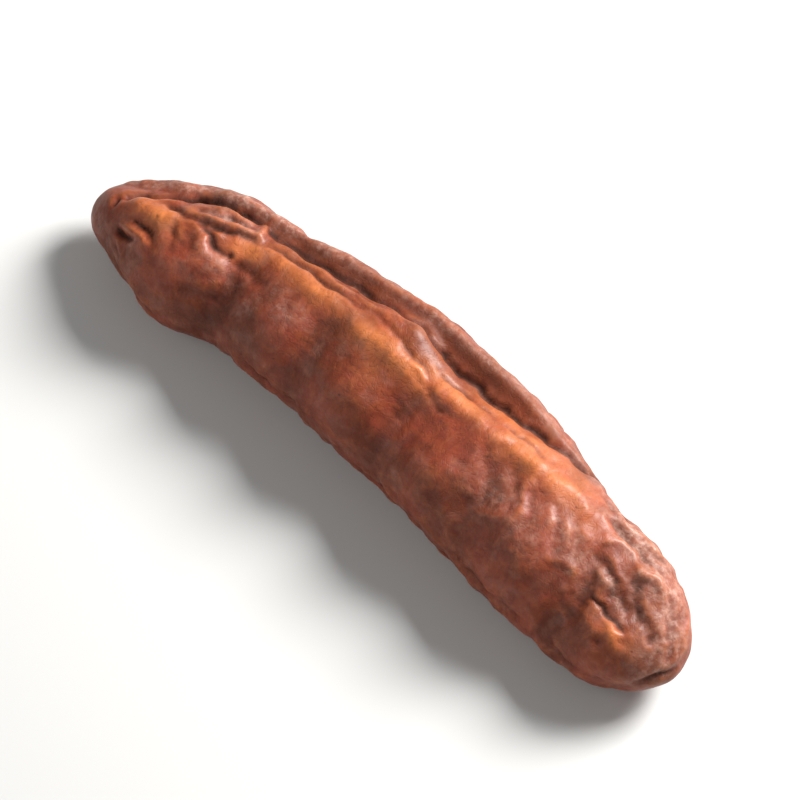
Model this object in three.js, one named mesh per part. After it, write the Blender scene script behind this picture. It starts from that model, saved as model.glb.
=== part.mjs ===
// A whole dried banana finger: peeled, shrunk to a leathery stick, folded along one side,
// and lying on the side that it dried on.
//
// Millimetres, +Z up. X runs along the finger, from its stalk end to its blossom end. The origin
// is on the resting plane, under the middle of the bounding box.
//
// The skin is a sphere's grid of points drawn out along the finger. Each ring of it is one closed
// curve through the named points of the cross-section, and swellings and dents are laid on last.

import * as THREE from "three";

// Driving dimensions
const LENGTH = 100;
const ROLL = THREE.MathUtils.degToRad(19); // how far the finger is rolled back onto its drying side
const SINK = 1.1; // how much of the underside the rack pressed flat
const PRESS_SOFTNESS = 0.45; // rounding where the pressed face turns up into the flanks
const END_BLUNTNESS = 7; // higher is a squarer end

// How fine the skin is
const SPANS = 4; // steps between two named points of the cross-section
const STATIONS = 62; // steps along the finger

// Shape along the finger: [share of the length, millimetres]
const HALF_WIDTH = curveThrough([
  [0, 7.6], [0.07, 8], [0.17, 10.2], [0.25, 9.5], [0.33, 10.1], [0.4, 10.2],
  [0.48, 10.9], [0.62, 11], [0.73, 10.6], [0.82, 10.1], [0.92, 10.2], [1, 8.2],
]);
const HALF_THICKNESS = curveThrough([
  [0, 5.8], [0.1, 7.3], [0.16, 7.9], [0.24, 7.3], [0.34, 8], [0.46, 8.7],
  [0.54, 8.3], [0.66, 8.5], [0.76, 8.2], [0.84, 7.5], [0.93, 8], [1, 6.6],
]);
const SIDE_BOW = curveThrough([
  [0, -3.1], [0.07, -1.7], [0.17, -0.6], [0.3, 1.4], [0.42, 2.3], [0.58, 2.2],
  [0.66, 1.3], [0.75, -0.3], [0.87, -1.5], [1, -2.1],
]);
const LIFT = curveThrough([
  [0, -0.6], [0.12, -0.2], [0.3, 0], [0.7, 0], [0.86, -0.3], [1, -0.5],
]);

// The fold: how deep it is, and how far out across the half width it lies
const FOLD_DEPTH = curveThrough([
  [0, 0], [0.03, 0.35], [0.08, 0.6], [0.15, 0.9], [0.25, 1], [0.62, 1], [0.72, 0.75], [0.8, 0.3], [0.87, 0], [1, 0],
]);
const FOLD_PLACE = curveThrough([
  [0, 0.1], [0.05, 0.25], [0.1, 0.48], [0.15, 0.68], [0.22, 0.76], [0.31, 0.69], [0.38, 0.72],
  [0.475, 0.78], [0.535, 0.63], [0.61, 0.61], [0.71, 0.79], [0.78, 0.93], [0.86, 0.95], [1, 0.95],
]);

// The named points of the cross-section, and where each lies on the plain oval, in degrees
const OVAL = {
  rim: -8, lip: 9, fold: 20, wall: 33, crest: 54, brow: 84, face: 114,
  cheek: 147, flank: 181, keel: 211, belly: 240, seat: 270, heel: 301, back: 330,
};

// Where the fold moves those nearest to it, as shares of the half width and half thickness
const folded = (place) => ({
  rim: [1, 0.14],
  lip: [0.25 * place + 0.76, 0.53],
  fold: [place + 0.01, 0.49],
  wall: [place - 0.08, 0.69],
  crest: [place - 0.24, 0.89],
});

// Swellings (+) and dents (-) of the skin: share of the length, degrees round the section,
// reach along and round the finger in millimetres, and height
const SWELLINGS = [
  { at: 0.159, round: 118, along: 5.5, across: 6.5, height: 0.9 },
  { at: 0.248, round: 96, along: 2.6, across: 6, height: -1 },
  { at: 0.256, round: 170, along: 3.6, across: 5, height: -0.6 },
  { at: 0.339, round: 104, along: 4.5, across: 6, height: 0.8 },
  { at: 0.4, round: 122, along: 3.2, across: 7, height: -0.4 },
  { at: 0.464, round: 112, along: 5, across: 7, height: 0.8 },
  { at: 0.479, round: 46, along: 3.4, across: 2.2, height: 0.9 },
  { at: 0.544, round: 122, along: 3.4, across: 8, height: -0.6 },
  { at: 0.624, round: 124, along: 5, across: 7, height: 0.7 },
  { at: 0.7, round: 122, along: 3.4, across: 7, height: -0.4 },
  { at: 0.769, round: 104, along: 5.5, across: 6, height: 0.9 },
  { at: 0.847, round: 108, along: 2.8, across: 6.5, height: -1 },
  { at: 0.909, round: 84, along: 2.8, across: 3.6, height: -1.9 },
  { at: 0.93, round: 140, along: 4, across: 5, height: 0.6 },
  { at: 0.2, round: 330, along: 6, across: 5, height: 0.6 },
  { at: 0.3, round: 345, along: 2.4, across: 5, height: -0.9 },
  { at: 0.41, round: 325, along: 5.5, across: 6, height: 0.7 },
  { at: 0.56, round: 338, along: 2.6, across: 6, height: -0.9 },
  { at: 0.68, round: 330, along: 6, across: 6, height: 0.7 },
  { at: 0.8, round: 350, along: 2.4, across: 5, height: -0.8 },
  { at: 0.3, round: 205, along: 3, across: 4, height: -0.6 },
  { at: 0.42, round: 200, along: 4.5, across: 4, height: 0.6 },
  { at: 0.66, round: 202, along: 5, across: 4, height: 0.5 },
];

// A smooth function through the given stops.
function curveThrough(stops) {
  const track = new THREE.CubicInterpolant(stops.map((p) => p[0]), stops.map((p) => p[1]), 1);
  return (share) => track.evaluate(share)[0];
}

// The closed cross-section at a share of the length, as a curve in the YZ plane.
function sectionAt(share) {
  const moved = folded(FOLD_PLACE(share));
  const depth = FOLD_DEPTH(share);
  const points = Object.entries(OVAL).map(([name, degrees]) => {
    const angle = THREE.MathUtils.degToRad(degrees);
    const point = new THREE.Vector3(0, Math.cos(angle), Math.sin(angle));
    if (name in moved) point.lerp(new THREE.Vector3(0, ...moved[name]), depth);
    return point;
  });
  return new THREE.CatmullRomCurve3(points, true, "catmullrom", 0.5);
}

// How far the swellings push the skin out at a place on it.
function swellingAt(share, angle, radius) {
  let height = 0;
  for (const s of SWELLINGS) {
    const along = ((share - s.at) * LENGTH) / s.along;
    const turn = THREE.MathUtils.euclideanModulo(angle - THREE.MathUtils.degToRad(s.round) + Math.PI, 2 * Math.PI);
    const across = ((turn - Math.PI) * radius) / s.across;
    height += s.height * Math.exp(-along * along - across * across);
  }
  return height;
}

// The half size of the finger as a share of its fullest, closing to a point at each end.
function endCap(share) {
  return Math.sqrt(Math.max(0, 1 - Math.abs(2 * share - 1) ** END_BLUNTNESS));
}

// A point of the skin, before the finger is rolled onto its side.
function skinPoint(share, section, round) {
  const cap = endCap(share);
  const point = section.getPoint(round);
  point.y *= HALF_WIDTH(share) * cap;
  point.z *= HALF_THICKNESS(share) * cap;
  const radius = Math.hypot(point.y, point.z);
  const swell = swellingAt(share, Math.atan2(point.z, point.y), Math.max(radius, 1)) * cap;
  if (radius > 0) point.multiplyScalar(1 + swell / radius);
  return new THREE.Vector3(
    (share - 0.5) * LENGTH,
    point.y + SIDE_BOW(share),
    point.z + LIFT(share),
  );
}

// The height after pressing on the rack: flat below, and easing into the flank above.
function pressed(height) {
  if (height >= PRESS_SOFTNESS) return height;
  if (height <= -PRESS_SOFTNESS) return 0;
  return (height + PRESS_SOFTNESS) ** 2 / (4 * PRESS_SOFTNESS);
}

function fingerGeometry() {
  const around = Object.keys(OVAL).length * SPANS;
  const geometry = new THREE.SphereGeometry(1, around, STATIONS);
  const position = geometry.getAttribute("position");

  for (let station = 0; station <= STATIONS; station++) {
    const even = 1 - station / STATIONS;
    const crowded = (1 - Math.cos(Math.PI * even)) / 2; // closer together near the ends
    const share = (even + crowded) / 2;
    const section = sectionAt(share);
    for (let step = 0; step <= around; step++) {
      const point = skinPoint(share, section, (step % around) / around);
      position.setXYZ(station * (around + 1) + step, point.x, point.y, point.z);
    }
  }

  geometry.rotateX(ROLL);
  geometry.computeBoundingBox();
  geometry.translate(0, 0, -geometry.boundingBox.min.z - SINK);
  for (let i = 0; i < position.count; i++) position.setZ(i, pressed(position.getZ(i)));

  geometry.computeBoundingBox();
  const middle = geometry.boundingBox.getCenter(new THREE.Vector3());
  geometry.translate(-middle.x, -middle.y, 0);
  geometry.computeVertexNormals();
  return geometry;
}

const driedFlesh = new THREE.MeshStandardMaterial({ color: 0x7d4230, roughness: 0.5, metalness: 0 });

const finger = new THREE.Mesh(fingerGeometry(), driedFlesh);
finger.name = "dried_banana_finger";

const part = new THREE.Group();
part.add(finger);

export default part;
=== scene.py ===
"""A whole dried banana finger, peeled and leathery, lying on the side that it dried on.

The skin is modelled on the fixed frame: it is remeshed finely, buckled by a cloth simulation as
it would be when the flesh under it shrinks, creased by strokes, and pressed flat
where it lies. Sizes are in metres unless a name says mm.
"""

import math

import bpy
import numpy as np
from mathutils import Euler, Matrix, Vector, noise


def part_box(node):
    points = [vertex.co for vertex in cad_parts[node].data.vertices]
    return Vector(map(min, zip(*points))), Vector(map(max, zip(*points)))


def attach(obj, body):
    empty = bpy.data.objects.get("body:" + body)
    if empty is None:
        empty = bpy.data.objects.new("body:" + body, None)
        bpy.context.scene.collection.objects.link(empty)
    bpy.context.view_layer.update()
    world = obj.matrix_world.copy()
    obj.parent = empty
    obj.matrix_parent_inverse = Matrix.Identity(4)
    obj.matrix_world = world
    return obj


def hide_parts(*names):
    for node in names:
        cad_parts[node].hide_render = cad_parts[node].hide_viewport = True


bl_info = {
    "name": "Dried banana",
    "version": (1, 0, 0),
    "blender": (4, 5, 0),
    "location": "3D View > Sidebar > Dried banana",
    "description": "Models a whole dried banana finger round its fixed frame",
    "category": "Add Mesh",
}

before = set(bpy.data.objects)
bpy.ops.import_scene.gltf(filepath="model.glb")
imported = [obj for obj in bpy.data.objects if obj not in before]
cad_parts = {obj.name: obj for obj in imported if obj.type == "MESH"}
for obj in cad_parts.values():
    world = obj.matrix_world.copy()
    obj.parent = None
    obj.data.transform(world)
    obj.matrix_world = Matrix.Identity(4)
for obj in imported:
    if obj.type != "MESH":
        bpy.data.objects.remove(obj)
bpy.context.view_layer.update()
NODE = "dried_banana_finger"
MIDDLE = Vector((0, 0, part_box(NODE)[1][2] / 2))
MM = 0.001

# The face of the finger with the fold along it is looked at from this direction.
VIEW_AZIMUTH = math.radians(43.2)
VIEW_ELEVATION = math.radians(62)

MERGE_DISTANCE = 0.01 * MM  # the frame node's loose triangles are merged within this
MESH_TURN = (math.radians(31), math.radians(27), math.radians(38))  # of the mesh's rows from the finger

# Rounds of averaging with the neighbours, where more rounds even out broader shapes
REMESHED_ROUNDS = 5
FOLD_FLOOR_ROUNDS = 14
NORMAL_ROUNDS = 4
BUCKLE_ROUNDS = (2, 40)  # buckles too narrow or too broad for these are dropped
RELIEF_ROUNDS = (6, 60)  # for fine creases, and for broad valleys


def direction(azimuth, elevation):
    """The unit vector that points from the finger towards a viewer."""
    flat = math.cos(elevation)
    return Vector((math.sin(azimuth) * flat, -math.cos(azimuth) * flat, math.sin(elevation)))


class Side:
    """A flat page held against one side of the finger, to place strokes on the skin under it."""

    PAGE_DISTANCE = 0.1

    def __init__(self, outward):
        self.out = outward.normalized()
        x = Vector((1, 0, 0))
        self.along = (x - self.out * x.dot(self.out)).normalized()
        self.across = self.out.cross(self.along)

    def skin_point(self, piece, along_mm, across_mm):
        """The place on the skin, in mm, that the page's point looks down on, or None."""
        start = self.along * along_mm * MM + self.across * across_mm * MM + self.out * self.PAGE_DISTANCE
        hit, place, _, _ = piece.ray_cast(start, -self.out)
        return np.array(place) / MM if hit else None


FACE = Side(direction(VIEW_AZIMUTH, VIEW_ELEVATION))
BACK = Side(Vector((0.1, 0.9, 0.45)))
FRONT = Side(Vector((0.1, -1, 0.15)))

# The floor of the fold: side, reach in mm, points in mm
FOLD_LINE = (
    FACE, 1.7,
    [(-28.9, 9.2), (-19.7, 10.3), (-12, 11.5), (-6.8, 12.4), (-1.2, 10.9), (6.2, 10.6), (16, 11.2),
     (27, 11.4)],
)

# Strokes on the skin: side, reach across in mm, height in mm (below 0 is a crease), points in mm
STROKES = [
    # the fold, from the stalk end to where it closes
    (FACE, 0.6, -0.9, [(-46.5, 1.2), (-45.4, 2.2), (-44.3, 2.8), (-41.8, 4.6), (-39.5, 6.2), (-37.3, 7.4)]),
    (FACE, 0.5, -0.8, [(-39.5, 6.2), (-37.5, 7.4), (-35.5, 8.4), (-32.5, 8.9), (-30.6, 9.0)]),
    (FACE, 0.5, -0.8, [(-28.9, 9.2), (-26.2, 9.3), (-22.3, 9.8), (-19.7, 10.3), (-16.5, 10.8), (-12, 11.5),
                       (-6.8, 12.4), (-3.5, 11.6), (-1.2, 10.9), (1.7, 10.8), (6.2, 10.6), (10.1, 10.8),
                       (16, 11.2), (21.2, 11.4), (25.7, 11.5)]),
    (FACE, 0.5, -0.4, [(25.0, 11.5), (26.4, 11), (28, 10.4), (31.9, 10.4), (35.5, 9.6), (38, 8.2)]),
    # the crest beside the fold, and the flatter face under it
    (FACE, 1.3, 0.45, [(-27, 7), (-19, 7.2), (-12, 7), (-6, 7.3), (0, 6.8), (4, 7.4), (12, 7.6), (20, 8),
                       (26, 7.6)]),
    (FACE, 3.0, -0.45, [(-23, 2.8), (-16, 3.2), (-8, 3.2), (0, 3.2), (8, 3.4), (14, 3.2)]),
    (FACE, 3.4, 0.45, [(-23, -4.2), (-14, -4.2), (-6, -4.4), (2, -4.6), (10, -5), (18, -5.4), (24, -5.8)]),
    # soft swellings of the face, and the waists between them
    (FACE, 3.2, 0.65, [(-21, 0), (-20, -3)]),
    (FACE, 3.4, 0.75, [(-8.6, 1), (-7.8, -3)]),
    (FACE, 3.4, 0.75, [(5.4, 0), (6.2, -4)]),
    (FACE, 3.2, 0.65, [(20.4, 0), (21.2, -4)]),
    (FACE, 2.0, -0.5, [(-15.6, 4), (-15.2, 0), (-14.2, -5)]),
    (FACE, 1.8, -0.5, [(-1.4, 4), (-1.8, 0), (-1, -5)]),
    (FACE, 2.0, -0.45, [(12.4, 3), (12.8, -1), (13.4, -5)]),
    # slack, slanting pleats towards the blossom end
    (FACE, 0.9, -0.25, [(9.5, 5), (11.5, 3.2), (13, 0.6)]),
    (FACE, 0.7, -0.25, [(13.4, 6.4), (14.6, 4.4), (16.6, 2.6)]),
    (FACE, 0.9, -0.3, [(16.8, 5.4), (18.4, 3), (18.8, 0.4)]),
    (FACE, 0.8, 0.25, [(15.6, 5), (17, 2.8), (17.4, 0.2)]),
    (FACE, 0.7, -0.3, [(19.6, 6), (21.4, 4.2), (22.6, 2)]),
    (FACE, 0.8, 0.25, [(18.6, 6.6), (20.6, 4.6), (21.8, 2.4)]),
    (FACE, 0.8, -0.25, [(23.2, 5.6), (25, 4.2), (25.6, 2.4)]),
    (FACE, 0.8, 0.25, [(22.4, 5), (23.8, 3.4), (24.4, 1.8)]),
    (FACE, 0.9, -0.12, [(16.6, -1), (19.6, -1.2), (22.6, -0.4)]),
    # the thin creases and ridges between the fold and the crest
    (FACE, 0.4, -0.45, [(-28, 7.8), (-24, 8.4), (-20, 8.6), (-16, 9), (-13.6, 9.1)]),
    (FACE, 0.5, 0.3, [(-27.4, 8.8), (-22, 9.2), (-17, 9.7), (-12, 10.4)]),
    (FACE, 0.5, -0.35, [(-12.6, 9.7), (-9.5, 9.6), (-6, 8.7), (-3, 8.4), (-0.6, 7)]),
    (FACE, 1.6, -0.4, [(-8.6, 11.2), (-6.4, 10), (-4, 9.6)]),
    (FACE, 0.4, -0.3, [(-2.6, 9.6), (0.6, 9), (4, 9.2), (7.6, 9)]),
    (FACE, 0.4, -0.25, [(9.4, 9.2), (12.4, 9.4), (15.6, 9)]),
    (FACE, 0.6, -0.3, [(-5.2, 7.6), (-1.8, 6.6), (1.6, 5.6), (4.6, 5.8)]),
    # the pleat that bridges the fold
    (FACE, 0.7, 0.7, [(-29.6, 10.3), (-29.8, 8.7), (-29.9, 7.6)]),
    # the stalk end: slots, ridges and the orange ridge
    (FACE, 0.8, -1.2, [(-46.6, 1.1), (-45.4, 2.2), (-44.4, 2.7)]),
    (FACE, 0.5, -0.6, [(-47.2, 0.4), (-47, -1)]),
    (FACE, 1.3, 0.6, [(-45, 1.2), (-41.8, 1.5), (-39.6, 2.5)]),
    (FACE, 0.8, -0.8, [(-43.9, -0.8), (-40.2, -0.6)]),
    (FACE, 0.6, 0.55, [(-44.8, -1.9), (-42.4, -1.7), (-39.6, -2.1)]),
    (FACE, 0.5, -0.9, [(-44.8, -2.9), (-43.4, -3.1), (-41.6, -2.7)]),
    (FACE, 0.6, -0.35, [(-43.7, -4.9), (-42, -5.7)]),
    # the pleats behind the stalk end
    (FACE, 0.6, -0.65, [(-42.5, 3.5), (-39.2, 4), (-36.6, 4.7), (-32.7, 6.1), (-30.1, 7.1), (-28.6, 7.4)]),
    (FACE, 0.6, 0.65, [(-37.2, 5.2), (-34.4, 6.2), (-32.5, 7.2)]),
    (FACE, 0.4, -0.5, [(-36, 6.4), (-33.4, 7.4), (-31.2, 8.2)]),
    (FACE, 0.5, 0.5, [(-37.4, 6.5), (-34.8, 7.8), (-31.8, 8.5)]),
    (FACE, 0.6, 0.5, [(-32.6, 6.7), (-30.8, 7.4), (-29.4, 7.8)]),
    (FACE, 0.5, -0.5, [(-36.6, 4.6), (-34.6, 4), (-33, 3.2), (-31.6, 3.4), (-30.9, 2.9)]),
    (FACE, 0.5, -0.6, [(-31, 3.5), (-30.6, 3.5)]),
    (FACE, 0.9, -0.4, [(-30, 3.4), (-28.2, 3.5), (-26.2, 3.4), (-25, 3.4)]),
    (FACE, 0.9, 0.4, [(-35.6, 3.1), (-33.7, 2), (-32.1, 1.6), (-30.2, 1.6), (-29.6, -0.6)]),
    (FACE, 0.6, -0.3, [(-39, 1.8), (-37.9, 0.6), (-37.2, -0.6)]),
    (FACE, 0.6, 0.3, [(-38.2, 2.2), (-36.4, 1.5)]),
    (FACE, 2.0, -0.5, [(-28.8, 2.2), (-28.3, -0.4), (-27.9, -2.7), (-28.5, -4.9), (-29.5, -7.2)]),
    (FACE, 1.5, 0.4, [(-33, 1), (-30.3, 0.6), (-29.9, -0.7), (-32, -1.7)]),
    (FACE, 1.1, -0.35, [(-35.5, -5), (-32.7, -3.6), (-30.8, -2.7), (-29, -1.2)]),
    # the blossom end: its bright ridge, the dent and what surrounds it
    (FACE, 0.65, 0.6, [(23.5, 10.6), (25.7, 10), (27.7, 9.3), (29.6, 9.2), (33.5, 8.9), (35.5, 8.7),
                       (37.3, 7.7)]),
    (FACE, 0.6, -0.6, [(26.6, 8.5), (29, 8.2), (30.6, 7.8), (32.5, 7.7), (35, 7.7)]),
    (FACE, 0.7, 0.5, [(31.8, 6.5), (33.5, 6), (35.5, 6.6), (37.1, 5.5), (37.6, 4.6)]),
    (FACE, 0.8, -0.55, [(31.5, 5), (34.2, 4), (35.5, 2.2), (36.8, 1.3), (39.6, 0.9)]),
    (FACE, 0.8, -0.55, [(28.2, 4.1), (30.3, 3.5), (31.9, 2.5), (33.2, 1.6), (35.4, 0.6)]),
    (FACE, 0.7, 0.4, [(28.6, 2.9), (31.6, 2.4), (33.5, 1.2), (35.6, -0.4)]),
    (FACE, 0.4, -0.5, [(30.3, -0.3), (32.9, -0.6), (35.5, -0.9), (36.9, -1.6)]),
    (FACE, 0.7, 0.45, [(33.2, -1.3), (35.5, -1.7), (37.6, -1.3)]),
    (FACE, 0.9, 0.35, [(33, -3.5), (34.8, -2.5), (37.4, -3), (39, -3.2)]),
    (FACE, 0.7, -0.25, [(34.2, -4.1), (35, -3.9)]),
    (FACE, 1.3, -0.5, [(29.2, 2), (29.9, -0.4), (30.3, -2.3), (29.8, -4.2), (29.5, -6.2)]),
    (FACE, 0.6, -0.8, [(44, -0.8), (42.9, -3), (41.8, -4.8)]),
    (FACE, 0.7, 0.3, [(38.5, 7.2), (41.3, 5.4), (43.2, 2.2), (43.9, 0.2)]),
    (FACE, 0.5, -0.3, [(38, 6), (40, 4.1), (41.9, 1.6), (42.7, -0.6)]),
    (FACE, 0.5, -0.35, [(39.1, 0.2), (39.8, -0.2)]),
    (FACE, 0.7, 0.25, [(22.8, -0.1), (25.7, 0.9), (27.9, 0.9)]),
    (FACE, 0.7, 0.2, [(26.6, 1), (28, -0.7), (27.6, -2.2)]),
    (FACE, 0.5, -0.4, [(36, 8.6), (38.4, 7.8), (40.4, 6.6)]),
    (FACE, 0.5, -0.35, [(38.6, 4.6), (40.2, 3.2), (41, 1.4)]),
    # the rear side: waists, and long wrinkles between them
    (BACK, 1.2, -0.5, [(-24, -9), (-24.8, -5), (-23.6, -1)]),
    (BACK, 0.8, -0.4, [(-8.4, -7), (-7.4, -4), (-8, -0.6)]),
    (BACK, 1.1, -0.5, [(6.6, -9), (5.8, -5), (6.8, -1)]),
    (BACK, 0.8, -0.4, [(17.4, -6.6), (18.6, -3.6), (18, -1)]),
    (BACK, 1.2, -0.5, [(31.4, -8), (30.4, -4.6), (31.4, -1)]),
    (BACK, 0.6, -0.5, [(-49, -5.2), (-46.6, -6.2), (-44, -6.4)]),
    (BACK, 0.6, -0.5, [(-49, -3.8), (-46.4, -3.8), (-44.4, -3.2)]),
    (BACK, 0.6, -0.4, [(-48.6, -2.4), (-46, -1.2)]),
    (BACK, 0.7, -0.45, [(-43, -3), (-37, -4.6), (-31, -4.2), (-27, -5)]),
    (BACK, 0.7, -0.45, [(-36, -1.6), (-30, -2.4), (-26, -1.8)]),
    (BACK, 0.8, -0.5, [(-21, -6.4), (-16, -5.6), (-11, -6.2)]),
    (BACK, 0.7, -0.45, [(-20, -2), (-14, -3), (-9.6, -2.6)]),
    (BACK, 0.8, -0.5, [(-5.6, -4.6), (0, -5.4), (4, -4.6)]),
    (BACK, 0.6, -0.4, [(-3, -1.6), (2, -2.4), (5, -1.6)]),
    (BACK, 0.8, -0.5, [(8.6, -6), (13, -5), (16.4, -5.4)]),
    (BACK, 0.7, -0.4, [(9, -2.2), (14, -2), (17, -2.8)]),
    (BACK, 0.8, -0.5, [(20, -5), (25, -6), (29, -5.2)]),
    (BACK, 0.7, -0.4, [(21, -1.8), (26, -2.8), (29.4, -2)]),
    (BACK, 0.7, -0.45, [(33.6, -5.4), (38, -4.6), (43, -5)]),
    (BACK, 0.7, -0.4, [(34, -2), (38, -2.6), (42, -2)]),
    (BACK, 1.2, 0.25, [(-20, -4.6), (-15, -4.2), (-12, -3.4)]),
    (BACK, 1.2, 0.2, [(11, -3.4), (15, -3.8)]),
    # the front side, under the face
    (FRONT, 0.8, -0.4, [(-20.6, 7), (-15, 6), (-10, 6.6)]),
    (FRONT, 0.7, -0.4, [(-18, 3.4), (-11, 3), (-6, 3.6)]),
    (FRONT, 0.8, -0.4, [(0, 5), (6, 4.4), (12, 5.2)]),
    (FRONT, 0.7, -0.4, [(10, 2.6), (17, 2.4), (23, 3)]),
    (FRONT, 0.8, -0.4, [(18, 6), (24, 5.2), (29, 5.6)]),
    (FRONT, 0.8, -0.4, [(-43, 5), (-38, 4), (-33, 4.4)]),
    (FRONT, 0.8, -0.4, [(33, 5.6), (38, 4.4), (43, 5)]),
]

# How a stroke wanders, so that none looks ruled: waves of (height in mm, radians per mm, phase)
WANDER_ALONG = [(0.12, 1.9, 0)]
WANDER_ACROSS = [(0.16, 1.3, 1), (0.08, 3.1, 0)]
STRENGTH_WAVE = (0.15, 0.9, 2)  # and how its strength varies, in shares of it
STROKE_TAPER = 0.04  # a stroke's ends are this far into its fade, as a share of its length
EVEN_DEPTH_MM = 0.8  # along a stroke, its depth is evened out over this length

UNEVEN_FRACTAL = (1.0, 2.0, 2)  # how fast its detail fades, how much finer each octave is, and octaves

# The simulation of the skin
SIMULATION_SCALE = 100  # times the real size
PIN_WEIGHT = 0.5
BUCKLE_LIMIT_MM = 0.6  # higher buckles are held down to about this

# How loose the skin is, from 0 to 1: nearly everywhere, and how far that varies from patch to patch
SKIN_LOOSENESS = 0.18
PATCH_MM = 7.0
PATCHINESS = 1.3

# Where the skin is looser or tauter than elsewhere: side, reach in mm, change, points in mm
LOOSE_PLACES = [
    (FACE, 6, 0.5, [(-40, 4), (-33, 6), (-29, 6)]),
    (FACE, 8, 0.5, [(30, 2), (36, 3), (42, 2)]),
    (FACE, 7, -0.08, [(-22, 2), (-10, 3), (4, 4)]),
    (FACE, 6, -0.08, [(-22, -5), (-5, -5), (12, -5)]),
    (FACE, 4, -0.35, [(-30, 10), (-15, 12), (0, 13), (15, 12), (24, 11)]),
    (FACE, 2.5, -0.3, [(-28, 8.4), (-20, 9), (-12, 9.8)]),
    (FACE, 6, 0.2, [(14, 2), (20, 3), (26, 4)]),
    (BACK, 4.6, 0.8, [(-47, -3.6), (-15, -3), (15, -3), (46, -3)]),
    (FRONT, 3, 0.4, [(-42, 3), (-15, 3), (15, 3), (42, 3)]),
]
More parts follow.
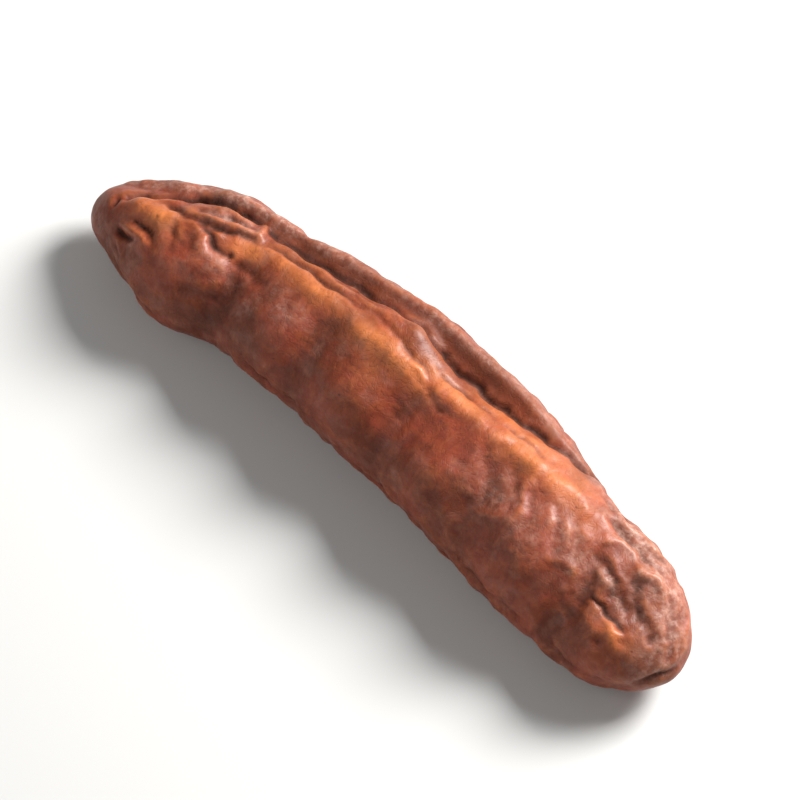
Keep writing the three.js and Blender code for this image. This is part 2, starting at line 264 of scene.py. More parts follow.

# Patches of colour, some of them painted shade and some painted highlight, one attribute for each kind:
# side, reach in mm, strength, points in mm
TINTS = {
    "amber": [  # the orange of ridges and thin edges, partly painted highlight along the lit crest
        (FACE, 2.2, 0.8, [(-44.6, 1.4), (-41.8, 1.5), (-39.6, 2.4)]),
        (FACE, 1.6, 0.9, [(-31.5, 5.2), (-29.5, 5.6), (-27.6, 5.6)]),
        (FACE, 1.5, 0.65, [(-28, 7.2), (-20, 7.4), (-14, 7.4)]),
        (FACE, 1.9, 0.8, [(-14, 7), (-9, 7.4), (-3.5, 7.2), (-0.5, 6)]),
        (FACE, 1.3, 0.7, [(-4, 9), (0, 8.4), (8, 8.3)]),
        (FACE, 2.0, 0.7, [(8, 8.3), (14, 8.2), (20, 8.2), (24, 7)]),
        (FACE, 2.0, 0.4, [(22, 7.5), (26, 6.5)]),
        (FACE, 1.6, 0.6, [(4, 9.8), (12, 9.9), (18, 10), (24, 9.4)]),
        (FACE, 1.6, 0.35, [(-8.4, 5), (-7, 2.4)]),
        (FACE, 1.4, 0.35, [(33, -1.6), (36.5, -2.2), (38.5, -2.6)]),
        (BACK, 2.6, 0.15, [(-23, -2), (-17, -4), (-13, -7)]),
        (BACK, 2.2, 0.12, [(8, -6), (13, -3.4), (19, -2)]),
    ],
    "rust": [  # the inner face of the fold
        (FACE, 0.9, 0.9, [(-38, 8.4), (-31, 10.2), (-22, 10.9), (-15, 12), (-7, 13)]),
        (FACE, 1.6, 0.85, [(-7, 13), (0, 12.6), (8, 12.6), (13, 12.2)]),
        (FACE, 1.2, 0.6, [(12, 12.4), (18, 12), (24, 11.3)]),
    ],
    "bloom": [  # dusty rose bloom, partly painted highlight and sheen, on the blossom end, the rim and a few patches of the face
        (FACE, 2.2, 0.3, [(-26, 1), (-24, -1)]),
        (FACE, 0.7, 1.0, [(23.1, 10.6), (29.6, 9.3), (32.9, 8.4), (39.4, 7.6), (42.4, 5)]),
        (FACE, 0.6, 1.0, [(31.8, 6.5), (33.5, 6), (35.5, 6.6), (37.1, 5.5), (37.6, 4.6)]),
        (FACE, 0.6, 0.8, [(28.6, 2.9), (31.6, 2.4), (33.5, 1.2), (35.6, -0.4)]),
        (FACE, 3.0, 0.9, [(26, 9.4), (33, 8.4), (38, 6.4), (41.5, 4)]),
        (FACE, 3.0, 0.8, [(38, 5), (41, 2.4), (42.4, -0.6), (41, -3)]),
        (FACE, 2.2, 0.55, [(19, 5), (23.5, 3.6), (27, 2), (27.4, -1)]),
        (FACE, 3.2, 0.35, [(10, 2.6), (16, 2), (22, 0.6)]),
        (FACE, 1.4, 0.5, [(-24.6, 4.2), (-22, 2.6), (-19, 3.2)]),
        (FACE, 1.4, 0.6, [(-36.5, 6), (-33, 7.6), (-30, 8)]),
        (FACE, 1.2, 0.6, [(-35, 3), (-32, 1.8), (-30, 1)]),
        (FACE, 1.1, 0.95, [(-47, 2.8), (-44, 5.2), (-39, 8.4), (-33, 10.8), (-24, 12.2), (-17, 13.2)]),
        (FACE, 1.0, 0.5, [(-17, 13.2), (-9, 14.2), (0, 14.4), (9, 14.3), (13, 13.5), (19, 11.9),
                          (25, 10.6)]),
    ],
    "weathered": [  # stronger mottling, and deeper painted shade in broad hollows, on the hidden sides
        (BACK, 7.0, 1.0, [(-46, -4), (-15, -4), (15, -4), (46, -4)]),
        (FRONT, 4.0, 1.0, [(-46, 3), (-15, 3), (15, 3), (46, 3)]),
    ],
    "dusk": [  # painted shade, broad and soft, in waists and hollows, on the rear lobe of the fold and at the ends, where the tips are also darker of themselves
        (BACK, 4.0, 0.6, [(-46, -3), (-38, -5), (-32, -4)]),
        (BACK, 3.4, 0.5, [(-6, -3), (2, -5)]),
        (BACK, 3.6, 0.6, [(20, -3), (27, -5), (40, -4)]),
        (FACE, 3.5, 0.75, [(-48, 0), (-46, -4), (-42, -7)]),
        (FACE, 4.0, 0.55, [(-25.5, 3), (-23.5, -1), (-24, -6)]),
        (FACE, 2.6, 1.0, [(-48, 2), (-46.4, 4), (-43.4, 6.4), (-39.4, 9), (-34, 10.8)]),
        (FACE, 1.5, 0.7, [(-15.8, 5), (-15.2, 1), (-15.6, -2), (-14.4, -5.5)]),
        (FACE, 1.3, 0.7, [(-1.2, 5), (-1.8, 1), (-1.4, -2), (-0.6, -5.5)]),
        (FACE, 1.4, 0.5, [(12.2, 3), (12.8, -1), (13.6, -5.5)]),
        (FACE, 1.0, 0.5, [(-21.4, 5), (-21.8, 1.6)]),
        (FACE, 1.6, 0.4, [(-9, 11.8), (-6, 10.6), (-3, 9.8)]),
        (FACE, 1.0, 0.4, [(6.4, -2.6), (6.8, -6)]),
        (FACE, 2.2, 0.7, [(-34, 10.6), (-27, 11.4), (-18, 12.6), (-10, 13.6)]),
        (FACE, 1.4, 0.75, [(-12, 13.2), (-4, 13.5), (4, 13.4), (10, 13)]),
        (FACE, 2.4, 0.35, [(24, 3.6), (25, 0), (25, -4)]),
        (FACE, 2.4, 1.0, [(-27.8, 1.6), (-27.4, -2), (-28.2, -6.5)]),
        (FACE, 2.2, 0.9, [(30, 4), (33.5, 2.6), (37, 1)]),
        (FACE, 2.4, 0.6, [(29.6, 0), (30.2, -3.5), (29.8, -7)]),
    ],
    "groove": [  # painted shade on the floors of the fold and creases, which are also made duller
        (FACE, 0.5, 0.8, [(-46.4, 1.4), (-45, 2.4), (-41.8, 4.6), (-37.3, 7.4), (-33, 8.7), (-30.4, 9.1)]),
        (FACE, 0.55, 0.9, [(-29.4, 9.2), (-22.3, 9.8), (-19.7, 10.3), (-16.5, 10.8), (-12, 11.5)]),
        (FACE, 0.4, 0.6, [(-12, 11.5), (-6.8, 12.4), (-3.5, 11.6), (1.7, 10.8), (10, 10.8), (21.2, 11.4)]),
        (FACE, 0.4, 0.5, [(-27, 8), (-22, 8.5), (-17, 8.9), (-13.6, 9.1)]),
        (FACE, 0.4, 0.5, [(26.4, 11), (28, 10.4), (31.9, 10.4), (35.5, 9.6), (38, 8.2)]),
        (FACE, 0.4, 0.4, [(26.6, 8.5), (30.6, 7.8), (35, 7.7)]),
        (FACE, 1.0, 0.5, [(-27.8, 2.2), (-27.4, 0.2), (-27.8, -2.6)]),
        (FACE, 0.4, 0.5, [(-42.5, 3.5), (-39.2, 4), (-36.6, 4.7), (-32.7, 6.1), (-30.1, 7.1)]),
        (FACE, 0.35, 0.5, [(-36, 6.4), (-33.4, 7.4), (-31.2, 8.2)]),
        (FACE, 0.6, 0.6, [(-43.9, -0.8), (-40.2, -0.6)]),
        (FACE, 0.5, 0.6, [(-44.8, -2.9), (-43.4, -3.1), (-41.6, -2.7)]),
        (FACE, 0.5, 0.7, [(-36.6, 4.6), (-34.6, 4), (-33, 3.2), (-31.6, 3.4), (-30.9, 3.2)]),
        (FACE, 0.6, 0.6, [(30.3, -0.3), (32.9, -0.6), (35.5, -0.9), (36.9, -1.6)]),
        (FACE, 0.7, 0.8, [(44, -0.8), (42.9, -3), (41.8, -4.8)]),
        (FACE, 2.0, 0.3, [(-27.4, 1), (-26.8, -2), (-27.4, -5)]),
    ],
}


# ---- the mesh as arrays ----------------------------------------------------------------------


def places_mm(piece):
    """The vertices of a piece, in mm."""
    values = np.empty(len(piece.data.vertices) * 3)
    piece.data.vertices.foreach_get("co", values)
    return values.reshape(-1, 3) / MM


def set_places_mm(piece, places):
    """Moves the vertices of a piece to places in mm."""
    piece.data.vertices.foreach_set("co", (places * MM).ravel())
    piece.data.update()


def vertex_normals(piece):
    """The vertex normals of a piece."""
    values = np.empty(len(piece.data.vertices) * 3)
    piece.data.vertex_normals.foreach_get("vector", values)
    return values.reshape(-1, 3)


def edge_ends(piece):
    """The two vertices of every edge of a piece."""
    values = np.empty(len(piece.data.edges) * 2, dtype=np.int32)
    piece.data.edges.foreach_get("vertices", values)
    return values.reshape(-1, 2)


def smoothed(values, edges, rounds):
    """Per-vertex values after repeated averaging with their neighbours."""
    count = np.bincount(edges.ravel(), minlength=len(values))[:, None]
    result = values.reshape(len(values), -1).astype(float)
    for _ in range(rounds):
        total = np.empty_like(result)
        for column in range(result.shape[1]):
            ends = result[:, column][edges[:, ::-1]]
            total[:, column] = np.bincount(edges.ravel(), weights=ends.ravel(), minlength=len(result))
        result = (result + total / count) / 2
    return result.reshape(values.shape)


def smooth_step(values, low, high):
    """0 below low, 1 above high, and a smooth rise between."""
    t = np.clip((values - low) / (high - low), 0, 1)
    return t * t * (3 - 2 * t)


# ---- shaping the skin ------------------------------------------------------------------------


def copy_of_node(name, piece_name):
    """A copy of a frame node with its loose triangles merged, selected and active."""
    bpy.ops.object.select_all(action="DESELECT")
    node = bpy.data.objects[name]
    node.select_set(True)
    bpy.context.view_layer.objects.active = node
    bpy.ops.object.duplicate()
    piece = bpy.context.active_object
    piece.name = piece.data.name = piece_name
    piece.data.materials.clear()
    bpy.ops.object.mode_set(mode="EDIT")
    bpy.ops.mesh.select_all(action="SELECT")
    bpy.ops.mesh.remove_doubles(threshold=MERGE_DISTANCE)
    bpy.ops.object.mode_set(mode="OBJECT")
    return piece


def apply_modifier(piece, kind, **settings):
    """Adds a modifier with these settings to the active piece and applies it."""
    modifier = piece.modifiers.new(kind.lower(), kind)
    for name, value in settings.items():
        setattr(modifier, name, value)
    bpy.ops.object.modifier_apply(modifier=modifier.name)


def remesh_askew(piece, step):
    """Gives the skin an even mesh whose rows run askew to the finger, so that no crease follows them."""
    turn = np.array(Euler(MESH_TURN).to_matrix())
    set_places_mm(piece, places_mm(piece) @ turn.T)
    apply_modifier(piece, "REMESH", mode="VOXEL", voxel_size=step)
    set_places_mm(piece, smoothed(places_mm(piece) @ turn, edge_ends(piece), REMESHED_ROUNDS))


def ease_fold(piece, side, reach, points):
    """Smooths the skin along a line, where the even mesh is too coarse for the fold's sharp floor."""
    places = places_mm(piece)
    near = line_strength(piece, places, side, reach, points)[:, None]
    set_places_mm(piece, places + near * (smoothed(places, edge_ends(piece), FOLD_FLOOR_ROUNDS) - places))


def buckle(piece, loose, roominess, hold, bending, frames, narrowing, keep):
    """Lets the skin buckle as it does when it grows too roomy for the flesh that shrank under it.

    loose is 0..1 per vertex, where 0 stays smooth. The simulation runs at a hundred times the
    real size, and narrowing stretches it along the finger so that the buckles come out narrower
    that way. Only the buckles are kept, times keep, and not the overall swelling.
    """
    scale = SIMULATION_SCALE * np.array([narrowing, 1, 1])
    before = places_mm(piece)
    set_places_mm(piece, before * scale)
    held = piece.vertex_groups.new(name="held")
    held.add(list(range(len(before))), PIN_WEIGHT, "REPLACE")
    taut = piece.vertex_groups.new(name="taut")
    for index, weight in enumerate(1 - loose):
        taut.add([index], float(weight), "REPLACE")

    cloth = piece.modifiers.new("buckle", "CLOTH")
    settings = cloth.settings
    settings.quality = 5
    settings.mass = 0.3
    settings.tension_stiffness = settings.compression_stiffness = 40
    settings.shear_stiffness = 10
    settings.bending_stiffness = bending
    settings.tension_damping = settings.compression_damping = 5
    settings.bending_damping = 0.5
    settings.air_damping = 2
    settings.vertex_group_mass = held.name
    settings.pin_stiffness = hold
    settings.vertex_group_shrink = taut.name
    settings.shrink_min = -roominess
    settings.shrink_max = 0
    settings.effector_weights.gravity = 0
    cloth.point_cache.frame_start = 1
    cloth.point_cache.frame_end = frames
    for number in range(1, frames + 1):
        bpy.context.scene.frame_set(number)
    bpy.ops.object.modifier_apply(modifier=cloth.name)
    piece.vertex_groups.clear()
    bpy.context.scene.frame_set(1)

    moved = places_mm(piece) / scale - before
    finest, broadest = (smoothed(moved, edge_ends(piece), rounds) for rounds in BUCKLE_ROUNDS)
    moved = finest - broadest
    far = np.linalg.norm(moved, axis=1)[:, None]
    moved *= keep / np.sqrt(1 + (far / BUCKLE_LIMIT_MM) ** 2)
    set_places_mm(piece, before + moved)


def looseness(piece):
    """How loose the skin is at each vertex, from 0 to 1."""
    places = places_mm(piece)
    loose = np.full(len(places), SKIN_LOOSENESS)
    for side, reach, strength, points in LOOSE_PLACES:
        loose += strength * line_strength(piece, places, side, reach, points, steps_per_reach=3)
    patchy = np.array([noise.noise(Vector(place) / PATCH_MM) for place in places])
    return np.clip(loose * (1 + PATCHINESS * patchy), 0, 1)


def waves(distance, parts):
    """The sum of waves of (height, radians per mm, phase) at distances in mm."""
    return sum(height * np.sin(distance * rate + phase) for height, rate, phase in parts)


def drawn_samples(piece, side, points, step_mm):
    """Points of a wandering line near the given ones, laid on the skin, and how full each is.

    The line's depth is evened out, so that it doesn't jump up and down the steep wall of the fold.
    """
    line = np.array(points, dtype=float)
    spans = np.hypot(*np.diff(line, axis=0).T)
    passed = np.concatenate([[0], np.cumsum(spans)])
    length = passed[-1]
    share = np.linspace(0, 1, max(3, int(length / step_mm) + 1))
    along = np.interp(share * length, passed, line[:, 0])
    across = np.interp(share * length, passed, line[:, 1])
    wander = share * length + 7.3 * line[0, 0]  # each stroke starts elsewhere on the waves
    along += waves(wander, WANDER_ALONG)
    across += waves(wander, WANDER_ACROSS)
    fullness = np.sqrt(np.clip(np.sin(np.pi * (STROKE_TAPER + (1 - 2 * STROKE_TAPER) * share)), 0, 1))
    fullness *= 1 - STRENGTH_WAVE[0] + waves(wander, [STRENGTH_WAVE])
    found = [(side.skin_point(piece, a, c), f) for a, c, f in zip(along, across, fullness)]
    found = [(place, f) for place, f in found if place is not None]
    if not found:
        return np.empty((0, 3)), np.empty(0)
    samples = np.array([place for place, _ in found])
    depth = samples @ np.array(side.out)
    even = depth
    for _ in range(int(2 * (EVEN_DEPTH_MM / step_mm) ** 2)):
        even = np.convolve(np.pad(even, 1, "edge"), (0.25, 0.5, 0.25), "valid")
    samples += (even - depth)[:, None] * np.array(side.out)
    return samples, np.array([f for _, f in found])


def line_strength(piece, places, side, reach, points, steps_per_reach=2):
    """How strongly a line drawn on the skin acts on each vertex, from 0 to 1."""
    samples, fullness = drawn_samples(piece, side, points, reach / steps_per_reach)
    result = np.zeros(len(places))
    if not len(samples):
        return result
    fades_out = 3 * reach
    low, high = samples.min(axis=0) - fades_out, samples.max(axis=0) + fades_out
    close = np.flatnonzero(np.all((places > low) & (places < high), axis=1))
    gaps = places[close][:, None, :] - samples[None, :, :]
    strength = fullness[None, :] * np.exp(-np.sum(gaps * gaps, axis=2) / reach**2)
    result[close] = strength.max(axis=1) if len(close) else 0
    return result


def draw_strokes(piece, strokes):
    """Presses creases into the skin and raises ridges on it."""
    places = places_mm(piece)
    outward = smoothed(vertex_normals(piece), edge_ends(piece), NORMAL_ROUNDS)
    outward /= np.linalg.norm(outward, axis=1)[:, None]
    height = np.zeros(len(places))
    for side, reach, rise, points in strokes:
        height += rise * line_strength(piece, places, side, reach, points)
    set_places_mm(piece, places + outward * height[:, None])


def make_uneven(piece, size_mm, height_mm):
    """Gives the skin shallow, rounded unevenness."""
    places = places_mm(piece)
    rise = np.array([noise.fractal(Vector(place) / size_mm, *UNEVEN_FRACTAL) for place in places])
    set_places_mm(piece, places + vertex_normals(piece) * (rise * height_mm)[:, None])


def press_flat(piece, softness_mm):
    """Presses the underside onto the surface that the finger lies on."""
    places = places_mm(piece)
    rise = places[:, 2]
    eased = (rise + softness_mm) ** 2 / (4 * softness_mm)
    places[:, 2] = np.where(rise >= softness_mm, rise, np.where(rise <= -softness_mm, 0, eased))
    set_places_mm(piece, places)


def store(piece, name, values):
    """Keeps one number per vertex on the mesh, for the material."""
    attribute = piece.data.attributes.new(name, "FLOAT", "POINT")
    attribute.data.foreach_set("value", np.clip(values, 0, 1).astype(np.float32))


def note_relief(piece):
    """Stores how hollow and how raised the skin is, finely and broadly."""
    places = places_mm(piece)
    edges = edge_ends(piece)
    outward = vertex_normals(piece)
    near, far = (smoothed(places, edges, rounds) for rounds in RELIEF_ROUNDS)
    fine = np.sum((places - near) * outward, axis=1)
    broad = np.sum((near - far) * outward, axis=1)
    for name, rise, starts_mm, full_mm in (
        ("crease", -fine, 0.005, 0.09), ("ridge", fine, 0.005, 0.07),
        ("valley", -broad, 0.02, 0.5), ("crown", broad, 0.02, 0.4),
    ):
        store(piece, name, smooth_step(rise, starts_mm, full_mm))


def paint_tints(piece, tints):
    """Stores how strongly each kind of tint, painted shade and painted highlight among them, lies on the
    skin.
    """
    places = places_mm(piece)
    for kind, patches in tints.items():
        total = np.zeros(len(places))
        for side, reach, strength, points in patches:
            total = np.maximum(total, strength * line_strength(piece, places, side, reach, points))
        store(piece, kind, total)


# ---- shader nodes as Python expressions ------------------------------------------------------


class Socket:
    """A socket of a shader node that can be used in sums and products."""

    def __init__(self, shader, socket):
        self.shader, self.socket = shader, socket

    def _maths(self, operation, first, second):
        return self.shader.node("ShaderNodeMath", {"operation": operation}, {0: first, 1: second})

    def __add__(self, other):
        return self._maths("ADD", self, other)

    def __sub__(self, other):
        return self._maths("SUBTRACT", self, other)

    def __rsub__(self, other):
        return self._maths("SUBTRACT", other, self)

    def __mul__(self, other):
        return self._maths("MULTIPLY", self, other)

    def __abs__(self):
        return self.shader.node("ShaderNodeMath", {"operation": "ABSOLUTE"}, {0: self})

    __radd__, __rmul__ = __add__, __mul__

    def clipped(self):
        """The value, held to the range from 0 to 1."""
        return self.shader.node("ShaderNodeClamp", {}, {"Value": self})


class Shader:
    """Builds the nodes of one material."""

    def __init__(self, name):
        self.material = bpy.data.materials.new(name)
        self.material.use_nodes = True
        self.tree = self.material.node_tree
        self.surface = self.tree.nodes["Principled BSDF"]

    def link(self, value, target):
        """Links a socket to the target, or sets a plain value on it."""
        if isinstance(value, Socket):
            self.tree.links.new(value.socket, target)
        else:
            target.default_value = value

    def node(self, kind, settings, inputs, output=0):
        """Adds a node: its settings first, then the values or links of its sockets."""
        node = self.tree.nodes.new(kind)
        for name, value in settings.items():
            setattr(node, name, value)
        for name, value in inputs.items():
            self.link(value, node.inputs[name])
        return Socket(self, node.outputs[output])

    def attribute(self, name):
        return self.node("ShaderNodeAttribute", {"attribute_name": name}, {}, "Fac")

    def rise(self, value, low, high):
        """0 where value is below low, 1 above high, smooth between."""
        settings = {"interpolation_type": "SMOOTHSTEP", "clamp": True}
        inputs = {"Value": value, "From Min": low, "From Max": high}
        return self.node("ShaderNodeMapRange", settings, inputs)

    def noise(self, place, scale, detail=4.0, roughness=0.55, distortion=0.0):
        inputs = {"Vector": place, "Scale": scale, "Detail": detail, "Roughness": roughness}
        return self.node("ShaderNodeTexNoise", {}, {**inputs, "Distortion": distortion}, "Fac")

    def lines(self, noise):
        """Thin lines, 1 along the middle value of a noise and 0 elsewhere."""
        return 1 - self.rise(abs(noise - 0.5), 0.0, 0.045)

    def mix(self, factor, first, second):
        """Mixes two colours, whose sockets come after those for numbers and vectors."""
        return self.node("ShaderNodeMix", {"data_type": "RGBA"}, {0: factor, 6: first, 7: second}, 2)


def flesh_material(colours):
    """The leathery flesh: mottled red-brown, amber on its ridges with painted highlight, and painted shade
    in its creases.
    """
    shader = Shader("dried_flesh")
    here = shader.node("ShaderNodeTexCoord", {}, {}, "Object")
    place = shader.node("ShaderNodeVectorMath", {"operation": "SCALE"}, {0: here, "Scale": 1 / MM})
    drift = shader.node("ShaderNodeTexNoise", {}, {"Vector": place, "Scale": 0.22, "Detail": 3.0}, "Color")
    drifted = shader.node(
        "ShaderNodeVectorMath", {"operation": "MULTIPLY_ADD"}, {0: drift, 1: (4, 4, 4), 2: place}
    )
    round_it = shader.node("ShaderNodeMapping", {}, {"Vector": drifted, "Scale": (1.0, 0.3, 0.3)})
    along_it = shader.node("ShaderNodeMapping", {}, {"Vector": drifted, "Scale": (0.3, 1.0, 1.0)})

    # patterns all over the skin, at scales per mm
    patches = shader.rise(shader.noise(drifted, 0.14, 3.0), 0.42, 0.6)
    mottle = shader.rise(shader.noise(drifted, 0.3, 3.5, 0.5), 0.4, 0.66)
    veins = shader.rise(shader.noise(along_it, 0.7, 4.0, 0.6), 0.45, 0.7)
    streaks = shader.rise(shader.noise(round_it, 0.8, 4.0, 0.6), 0.45, 0.68)
    grain = shader.noise(place, 2.2, 4.0, 0.6)
    blotch = shader.noise(drifted, 0.75, 2.0)
    folds = shader.lines(shader.noise(round_it, 0.9, 1.5, 0.5, 0.4))
    crinkles = shader.lines(shader.noise(drifted, 0.8, 1.5, 0.55, 0.3))

    # what the mesh says about each place
    crease, ridge = shader.attribute("crease"), shader.attribute("ridge")
    valley, crown = shader.attribute("valley"), shader.attribute("crown")
    amber, dusk, bloom, rust = (shader.attribute(n) for n in ("amber", "dusk", "bloom", "rust"))
    groove, weathered = shader.attribute("groove"), shader.attribute("weathered")

    # the colour: flesh, then amber with painted highlight, the inner fold, painted shade, dust with painted
    # highlight, and specks
    base = shader.mix(patches, tuple(colours.flesh), tuple(colours.red_flesh))
    base = shader.mix(mottle * (0.28 + weathered * 0.5), base, tuple(colours.dark_flesh))
    warmth = streaks * 0.04 + veins * 0.06 + shader.rise(blotch, 0.5, 0.72) * 0.1
    base = shader.mix(warmth, base, tuple(colours.amber))
    # amber on ridges, raised places and the amber patches: partly the skin's own orange, partly painted
    # highlight
    ridge_highlight_and_amber = (crown * 0.18 + ridge * 0.2 + amber) * (0.75 + mottle * 0.25)
    base = shader.mix(ridge_highlight_and_amber.clipped(), base, tuple(colours.amber))
    base = shader.mix(rust, base, tuple(colours.rust))
    # painted shade: in the fold's floor and creases, in waists and broad hollows, and along fine wrinkle
    # lines
    shade = groove * 0.8 + dusk * 0.6 + valley * (0.2 + weathered * 0.3) + crease * 0.5
    shade = shade + (folds + crinkles) * 0.1
    base = shader.mix(shade.clipped(), base, tuple(colours.crease))
    dusty = shader.rise(shader.noise(place, 1.0, 4.0, 0.65), 0.4, 0.7)
    powder = shader.rise(shader.noise(place, 0.4, 3.0, 0.55), 0.48, 0.7)
    # dust and bloom, with painted highlight and sheen where the bloom tint lies
    dust_and_highlight = (bloom * (0.2 + dusty * 0.75) + powder * (1 - rust) * 0.1).clipped()
    base = shader.mix(dust_and_highlight, base, tuple(colours.bloom))

    cells = shader.node("ShaderNodeTexVoronoi", {}, {"Vector": drifted, "Scale": 0.7}, "Distance")
    specks = (1 - shader.rise(cells, 0.05, 0.2)) * shader.rise(shader.noise(place, 0.35, 2.0), 0.55, 0.65)
    base = shader.mix(specks * 0.6, base, tuple(colours.crease))
    shader.link(base, shader.surface.inputs["Base Color"])

    # the sheen, which creases and dust lack
    rough = 0.38 + grain * 0.22 + crease * 0.2 + mottle * 0.1 + groove * 0.3 + rust * 0.1 + bloom * 0.08
    shader.link(rough.clipped(), shader.surface.inputs["Roughness"])
    coat = 0.09 + ridge * 0.14 - crease * 0.2 - rust * 0.15 - groove * 0.4
    shader.link(coat.clipped(), shader.surface.inputs["Coat Weight"])
    shader.surface.inputs["Coat Roughness"].default_value = 0.28
    shader.surface.inputs["Specular IOR Level"].default_value = 0.25
    shader.surface.inputs["Subsurface Weight"].default_value = 0.06
    shader.surface.inputs["Subsurface Radius"].default_value = (1.0, 0.35, 0.2)
    shader.surface.inputs["Subsurface Scale"].default_value = 1.0 * MM

    relief = blotch + grain * 0.5 - folds * 0.14 - crinkles * 0.2
    settings = {"Strength": 0.4, "Distance": 0.22 * MM, "Height": relief}
    shader.link(shader.node("ShaderNodeBump", {}, settings, "Normal"), shader.surface.inputs["Normal"])
    return shader.material


# ---- sizes and colours that a user may change ------------------------------------------------


def colour(name, description, default):
    return bpy.props.FloatVectorProperty(
        name=name, description=description, default=(*default, 1), size=4, min=0, max=1, subtype="COLOR"
    )


class BananaFinger(bpy.types.PropertyGroup):
    """The finger's skin."""

    skin_step: bpy.props.FloatProperty(
        name="Skin step", description="Edge length of the skin before it is refined",
        default=0.6 * MM, min=0.3 * MM, max=2 * MM, unit="LENGTH",
    )
    roominess: bpy.props.FloatProperty(
        name="Roominess", description="How much too large the skin is for the flesh under it",
        default=0.11, min=0, max=0.5, subtype="FACTOR",
    )
    flesh: colour("Flesh", "Most of the flesh", (0.164, 0.031, 0.0115))
    red_flesh: colour("Red flesh", "The redder patches", (0.232, 0.04, 0.0175))
    dark_flesh: colour("Dark flesh", "The darker mottling", (0.092, 0.016, 0.0075))
    # the skin's orange, also the colour of painted highlight on the ridges and the crest
    amber: colour("Amber", "Ridges and thin edges", (0.6, 0.18, 0.05))
    rust: colour("Rust", "The inner face of the fold", (0.15, 0.028, 0.006))
    # the colour of painted shade in creases and hollows, and of the dark spots
    crease: colour("Crease", "Creases and spots", (0.045, 0.01, 0.004))
    # the dusty rose of the bloom, also the colour of painted highlight and sheen
    bloom: colour("Bloom", "Dusty rose patches", (0.47, 0.27, 0.21))


class BananaStage(bpy.types.PropertyGroup):
    """The floor, the lights and the camera."""

    floor_colour: colour("Floor", "Colour of the plain floor", (0.6, 0.595, 0.58))
    distance: bpy.props.FloatProperty(
        name="Camera distance", description="From the camera to the finger's middle",
        default=0.6, min=0.1, unit="LENGTH",
    )
    lens: bpy.props.FloatProperty(
        name="Lens", description="The camera's focal length", default=215, min=10, unit="CAMERA"
    )
    key_power: bpy.props.FloatProperty(
        name="Key light", description="Power of the light that grazes the face",
        default=5.35, min=0, unit="POWER",
    )
    fill_power: bpy.props.FloatProperty(
        name="Fill light", description="Power of the soft light from the other side",
        default=1.45, min=0, unit="POWER",
    )
    sky_strength: bpy.props.FloatProperty(
        name="Sky", description="Strength of the even light from all round", default=0.22, min=0,
    )


# ---- operators -------------------------------------------------------------------------------


class BANANA_OT_finger(bpy.types.Operator):
    """Model the dried finger and its flesh"""

    bl_idname = "banana.finger"
    bl_label = "Dried finger"

    def execute(self, context):
        sizes = context.scene.banana_finger
        piece = copy_of_node(NODE, "dried_finger_skin")
        remesh_askew(piece, sizes.skin_step)
        ease_fold(piece, *FOLD_LINE)
        roomy = sizes.roominess
        buckle(
            piece, looseness(piece), roomy, hold=0.03, bending=1.5, frames=18, narrowing=1.2, keep=0.6
        )
        apply_modifier(piece, "SUBSURF", levels=1, render_levels=1)
        draw_strokes(piece, STROKES)
        make_uneven(piece, size_mm=3.4, height_mm=0.16)
        buckle(
            piece, looseness(piece), roomy / 2, hold=0.3, bending=1.0, frames=10, narrowing=1.2, keep=0.8
        )
        press_flat(piece, softness_mm=0.45)
        note_relief(piece)
        paint_tints(piece, TINTS)
        bpy.ops.object.shade_smooth()
        piece.data.materials.append(flesh_material(sizes))
        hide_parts(NODE)
        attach(piece, "root")
        return {"FINISHED"}


def area_light(name, towards, distance, size, power):
    """A soft lamp that shines at the finger's middle."""
    bpy.ops.object.light_add(type="AREA", location=MIDDLE + towards.normalized() * distance)
    lamp = bpy.context.active_object
    lamp.name = lamp.data.name = name
    lamp.rotation_euler = (-towards).to_track_quat("-Z", "Y").to_euler()
    lamp.data.size = size
    lamp.data.energy = power


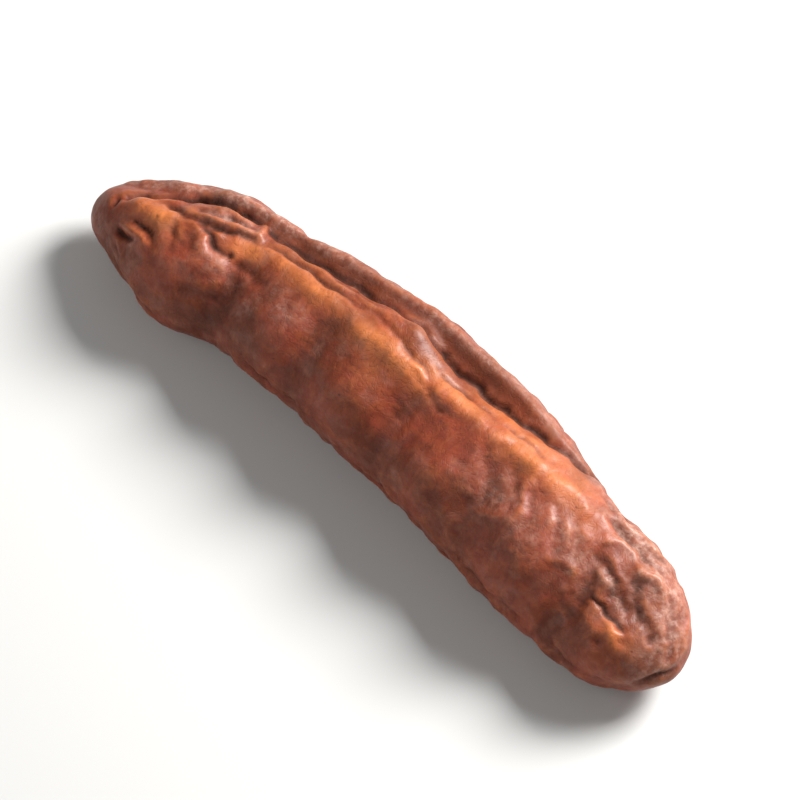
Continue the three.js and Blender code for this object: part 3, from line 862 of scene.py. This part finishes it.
class BANANA_OT_stage(bpy.types.Operator):
    """Set the floor, the lights and the camera"""

    bl_idname = "banana.stage"
    bl_label = "Stage"

    def execute(self, context):
        stage = context.scene.banana_stage
        bpy.ops.object.select_all(action="DESELECT")
        bpy.ops.mesh.primitive_plane_add(size=4)
        floor = context.active_object
        floor.name = floor.data.name = "floor"
        paper = Shader("floor_paper")
        paper.surface.inputs["Base Color"].default_value = tuple(stage.floor_colour)
        paper.surface.inputs["Roughness"].default_value = 0.9
        floor.data.materials.append(paper.material)

        back = FACE.out
        right = Vector((math.cos(VIEW_AZIMUTH), math.sin(VIEW_AZIMUTH), 0))
        up = back.cross(right)
        key_side, fill_side = right * 0.85 + up * 0.8 + back * 0.5, back * 0.8 - right * 0.9
        area_light("key_light", key_side, distance=0.45, size=0.2, power=stage.key_power)
        area_light("fill_light", fill_side, distance=0.7, size=0.6, power=stage.fill_power)
        world = bpy.data.worlds.new("studio")
        world.use_nodes = True
        sky = world.node_tree.nodes["Background"]
        sky.inputs["Color"].default_value = (1, 1, 1, 1)
        sky.inputs["Strength"].default_value = stage.sky_strength
        context.scene.world = world

        bpy.ops.object.camera_add(location=MIDDLE + back * stage.distance)
        camera = context.active_object
        camera.name = camera.data.name = "camera"
        camera.rotation_euler = (-back).to_track_quat("-Z", "Y").to_euler()
        camera.data.lens = stage.lens
        camera.data.clip_start = 0.01
        context.scene.camera = camera
        context.scene.view_settings.view_transform = "Standard"
        return {"FINISHED"}


class BANANA_PT_panel(bpy.types.Panel):
    """The finger and its stage, in the 3D view's sidebar"""

    bl_idname = "BANANA_PT_panel"
    bl_label = "Dried banana"
    bl_space_type = "VIEW_3D"
    bl_region_type = "UI"
    bl_category = "Dried banana"

    def draw(self, context):
        for settings, operator in (
            (context.scene.banana_finger, BANANA_OT_finger),
            (context.scene.banana_stage, BANANA_OT_stage),
        ):
            box = self.layout.box()
            for name in settings.__annotations__:
                box.prop(settings, name)
            box.operator(operator.bl_idname)


CLASSES = (BananaFinger, BananaStage, BANANA_OT_finger, BANANA_OT_stage, BANANA_PT_panel)


def register():
    for cls in CLASSES:
        bpy.utils.register_class(cls)
    bpy.types.Scene.banana_finger = bpy.props.PointerProperty(type=BananaFinger)
    bpy.types.Scene.banana_stage = bpy.props.PointerProperty(type=BananaStage)


def unregister():
    del bpy.types.Scene.banana_stage
    del bpy.types.Scene.banana_finger
    for cls in reversed(CLASSES):
        bpy.utils.unregister_class(cls)


def main():
    register()
    bpy.ops.banana.finger()
    bpy.ops.banana.stage()


if __name__ == "__main__":
    main()
